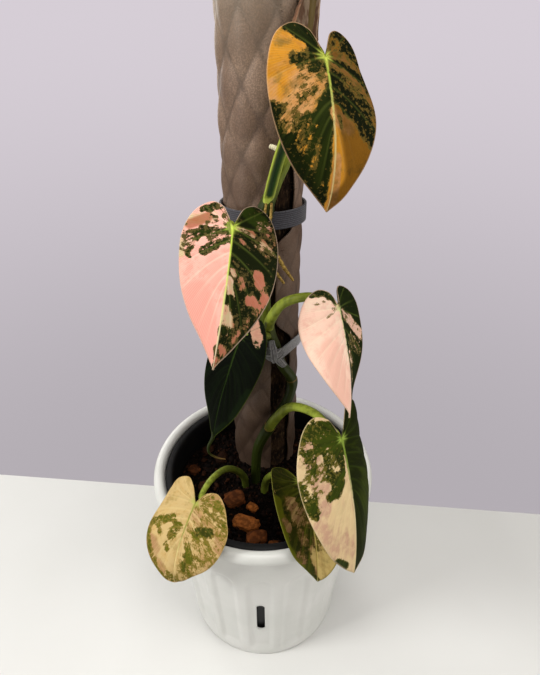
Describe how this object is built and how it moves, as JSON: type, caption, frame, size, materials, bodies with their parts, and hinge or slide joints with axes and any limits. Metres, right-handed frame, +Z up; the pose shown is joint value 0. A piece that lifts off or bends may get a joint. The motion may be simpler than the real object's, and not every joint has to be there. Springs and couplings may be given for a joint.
{
  "type": "potted climbing philodendron on a pole",
  "caption": "Climbing house plant with heart-shaped leaves, part green and part pink, ochre or cream, tied to a pole of embossed sheet in a fluted white pot.",
  "frame": {"origin": "centre of the outer pot's flat underside", "axes": "+Z up along the pole, -Y towards the viewer of the picture, +X to the viewer's right"},
  "size_m": [0.17, 0.1854, 0.522],
  "materials": {
    "pot": "satin",
    "liner": "satin",
    "soil": "matte",
    "moss": "matte",
    "sheet": "matte",
    "strap_dark": "matte",
    "strap_grey": "matte",
    "stem": "satin",
    "root": "matte",
    "bract": "matte",
    "new_leaf": "satin",
    "stalk": "satin",
    "leaf_1": "satin",
    "leaf_2": "satin",
    "leaf_3": "satin",
    "leaf_4": "satin",
    "leaf_5": "satin",
    "leaf_6": "satin",
    "leaf_7": "satin"
  },
  "bodies": {
    "root": {"pot_outer": "pot", "pot_liner": "liner", "soil": "soil", "pole_moss": "moss", "pole_sheet": "sheet", "band_upper": "strap_dark", "band_lower": "strap_grey", "stem_main": "stem", "aerial_root_1": "root", "aerial_root_2": "root", "aerial_root_3": "root", "aerial_root_4": "root", "aerial_root_5": "root", "bract": "bract", "new_leaf": "new_leaf", "stalk_1": "stalk", "stalk_2": "stalk", "stalk_3": "stalk", "stalk_4": "stalk", "stalk_5": "stalk", "stalk_6": "stalk", "stalk_7": "stalk", "leaf_1": "leaf_1", "leaf_2": "leaf_2", "leaf_3": "leaf_3", "leaf_4": "leaf_4", "leaf_5": "leaf_5", "leaf_6": "leaf_6", "leaf_7": "leaf_7"}
  },
  "joints": []
}
